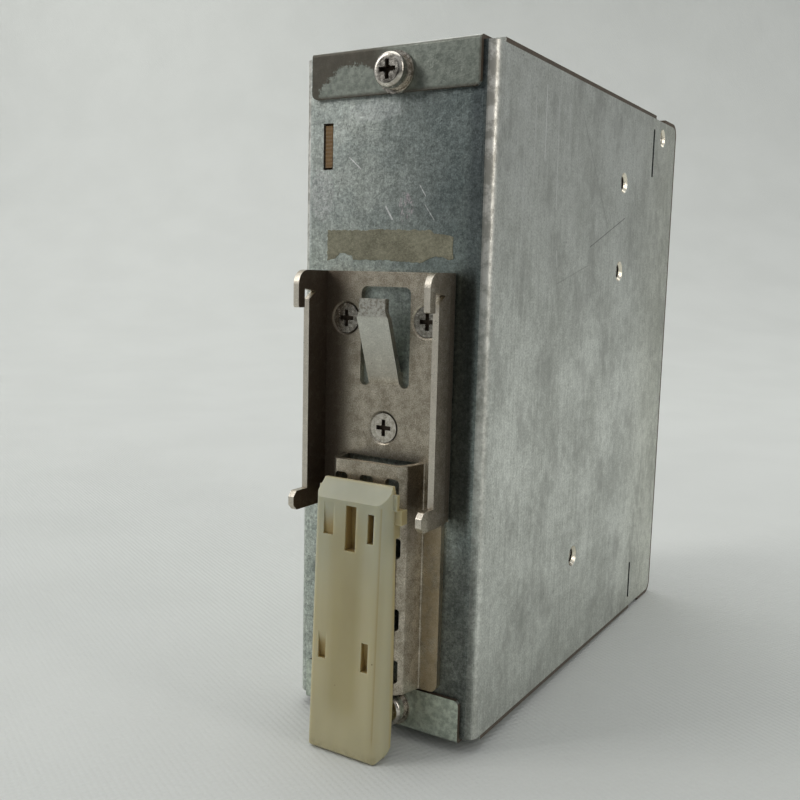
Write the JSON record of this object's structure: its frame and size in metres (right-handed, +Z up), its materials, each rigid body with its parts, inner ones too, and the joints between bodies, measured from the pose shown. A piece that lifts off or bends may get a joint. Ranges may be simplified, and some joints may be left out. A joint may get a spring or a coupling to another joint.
{
  "type": "DIN rail power supply",
  "caption": "Slim sheet-metal power supply for a DIN rail: rear bracket with hooks, spring tongue and a plastic sliding latch, screw terminals on the front.",
  "frame": {"origin": "middle of the 35 mm DIN rail seat: centred across the width, on the plane where the rail's lips bear on the bracket, at half the rail's height", "axes": "+Z up along the case's height, +Y out of the back toward the rail, -Y toward the front with the terminals, +X across the width toward the circuit board's side"},
  "size_m": [0.04, 0.1197, 0.1274],
  "materials": {
    "galvanised": "mottled",
    "galvanised_rear_flange": "mottled, stained",
    "nickel_plate": "satin",
    "bright_screw": "bright",
    "natural_nylon": "aged, translucent",
    "label_stock": "satin",
    "board": "satin",
    "insulating_film": "satin",
    "terminal_plastic": "matte",
    "tinned_copper": "satin",
    "zinc_screw": "satin",
    "brass": "satin",
    "aluminium_plate": "brushed",
    "glass_tube": "clear",
    "disc_green": "satin",
    "disc_blue": "satin",
    "film_yellow": "gloss",
    "ferrite": "matte",
    "copper_wire": "enamelled",
    "tape_yellow": "satin",
    "moulding_black": "matte",
    "can_sleeve": "gloss",
    "pad_grey": "matte",
    "trimmer_blue": "matte",
    "rotor_white": "matte",
    "lamp_green": "clear"
  },
  "bodies": {
    "case": {"chassis": "galvanised", "top_cover": "galvanised_rear_flange", "bottom_cover": "galvanised_rear_flange", "front_panel": "galvanised", "front_panel_rivets": "bright_screw", "front_label": "label_stock", "din_bracket": "nickel_plate", "bracket_screws": "bright_screw", "cover_screws": "bright_screw", "flat_washers": "bright_screw", "spring_washers": "bright_screw", "main_pcb": "board", "pcb_standoffs": "brass", "inner_screws": "zinc_screw", "pcb_insulator": "insulating_film", "output_terminal_housing": "terminal_plastic", "terminal_bars": "tinned_copper", "input_terminal_housing": "terminal_plastic", "terminal_boards": "board", "input_fuse": "glass_tube", "fuse_clips": "tinned_copper", "thermistor": "disc_green", "varistor": "disc_blue", "y_capacitors": "disc_blue", "choke_base": "moulding_black", "choke_cores": "ferrite", "choke_windings": "copper_wire", "bridge_rectifier": "moulding_black", "bulk_capacitors": "can_sleeve", "heat_spreaders": "aluminium_plate", "power_semiconductors": "moulding_black", "thermal_pads": "pad_grey", "transformer_core": "ferrite", "transformer_bobbin": "moulding_black", "transformer_windings": "tape_yellow", "output_capacitors": "can_sleeve", "control_board": "board", "control_chips": "moulding_black", "optocouplers": "rotor_white", "film_capacitors": "film_yellow", "indicator_board": "board", "trimmer_body": "trimmer_blue", "power_lamp": "lamp_green"},
    "latch": {"latch_slider": "natural_nylon"},
    "trimmer": {"trimmer_rotor": "rotor_white"},
    "output_clamp_screw_1": {"output_screw_1": "zinc_screw"},
    "output_clamp_cage_1": {"output_cage_1": "brass"},
    "output_clamp_screw_2": {"output_screw_2": "zinc_screw"},
    "output_clamp_cage_2": {"output_cage_2": "brass"},
    "output_clamp_screw_3": {"output_screw_3": "zinc_screw"},
    "output_clamp_cage_3": {"output_cage_3": "brass"},
    "output_clamp_screw_4": {"output_screw_4": "zinc_screw"},
    "output_clamp_cage_4": {"output_cage_4": "brass"},
    "input_clamp_screw_1": {"input_screw_1": "zinc_screw"},
    "input_clamp_cage_1": {"input_cage_1": "brass"},
    "input_clamp_screw_2": {"input_screw_2": "zinc_screw"},
    "input_clamp_cage_2": {"input_cage_2": "brass"},
    "input_clamp_screw_3": {"input_screw_3": "zinc_screw"},
    "input_clamp_cage_3": {"input_cage_3": "brass"}
  },
  "joints": [
    {"name": "latch_slide", "type": "slide", "parent": "case", "child": "latch", "axis": [0, 0, -1], "range_m": [0, 0.005]},
    {"name": "voltage_trimmer", "type": "hinge", "parent": "case", "child": "trimmer", "pos_m": [0.004, -0.1068, 0.0354], "axis": [0, 1, 0], "range_deg": [-135, 135]},
    {"name": "output_screw_turn_1", "type": "hinge", "parent": "case", "child": "output_clamp_screw_1", "pos_m": [-0.01407, -0.1088, 0.0514], "axis": [0, 1, 0], "range_deg": [0, 2160]},
    {"name": "output_cage_draw_1", "type": "slide", "parent": "case", "child": "output_clamp_cage_1", "axis": [0, -1, 0], "range_m": [0, 0.003]},
    {"name": "output_screw_turn_2", "type": "hinge", "parent": "case", "child": "output_clamp_screw_2", "pos_m": [-0.00645, -0.1088, 0.0514], "axis": [0, 1, 0], "range_deg": [0, 2160]},
    {"name": "output_cage_draw_2", "type": "slide", "parent": "case", "child": "output_clamp_cage_2", "axis": [0, -1, 0], "range_m": [0, 0.003]},
    {"name": "output_screw_turn_3", "type": "hinge", "parent": "case", "child": "output_clamp_screw_3", "pos_m": [0.00117, -0.1088, 0.0514], "axis": [0, 1, 0], "range_deg": [0, 2160]},
    {"name": "output_cage_draw_3", "type": "slide", "parent": "case", "child": "output_clamp_cage_3", "axis": [0, -1, 0], "range_m": [0, 0.003]},
    {"name": "output_screw_turn_4", "type": "hinge", "parent": "case", "child": "output_clamp_screw_4", "pos_m": [0.00879, -0.1088, 0.0514], "axis": [0, 1, 0], "range_deg": [0, 2160]},
    {"name": "output_cage_draw_4", "type": "slide", "parent": "case", "child": "output_clamp_cage_4", "axis": [0, -1, 0], "range_m": [0, 0.003]},
    {"name": "input_screw_turn_1", "type": "hinge", "parent": "case", "child": "input_clamp_screw_1", "pos_m": [-0.01165, -0.1088, -0.0514], "axis": [0, 1, 0], "range_deg": [0, 2160]},
    {"name": "input_cage_draw_1", "type": "slide", "parent": "case", "child": "input_clamp_cage_1", "axis": [0, -1, 0], "range_m": [0, 0.003]},
    {"name": "input_screw_turn_2", "type": "hinge", "parent": "case", "child": "input_clamp_screw_2", "pos_m": [-0.00215, -0.1088, -0.0514], "axis": [0, 1, 0], "range_deg": [0, 2160]},
    {"name": "input_cage_draw_2", "type": "slide", "parent": "case", "child": "input_clamp_cage_2", "axis": [0, -1, 0], "range_m": [0, 0.003]},
    {"name": "input_screw_turn_3", "type": "hinge", "parent": "case", "child": "input_clamp_screw_3", "pos_m": [0.00735, -0.1088, -0.0514], "axis": [0, 1, 0], "range_deg": [0, 2160]},
    {"name": "input_cage_draw_3", "type": "slide", "parent": "case", "child": "input_clamp_cage_3", "axis": [0, -1, 0], "range_m": [0, 0.003]}
  ],
  "couplings": [
    {"joint": "output_screw_turn_1", "follows": "output_cage_draw_1", "rad_per_m": 12566},
    {"joint": "output_screw_turn_2", "follows": "output_cage_draw_2", "rad_per_m": 12566},
    {"joint": "output_screw_turn_3", "follows": "output_cage_draw_3", "rad_per_m": 12566},
    {"joint": "output_screw_turn_4", "follows": "output_cage_draw_4", "rad_per_m": 12566},
    {"joint": "input_screw_turn_1", "follows": "input_cage_draw_1", "rad_per_m": 12566},
    {"joint": "input_screw_turn_2", "follows": "input_cage_draw_2", "rad_per_m": 12566},
    {"joint": "input_screw_turn_3", "follows": "input_cage_draw_3", "rad_per_m": 12566}
  ]
}
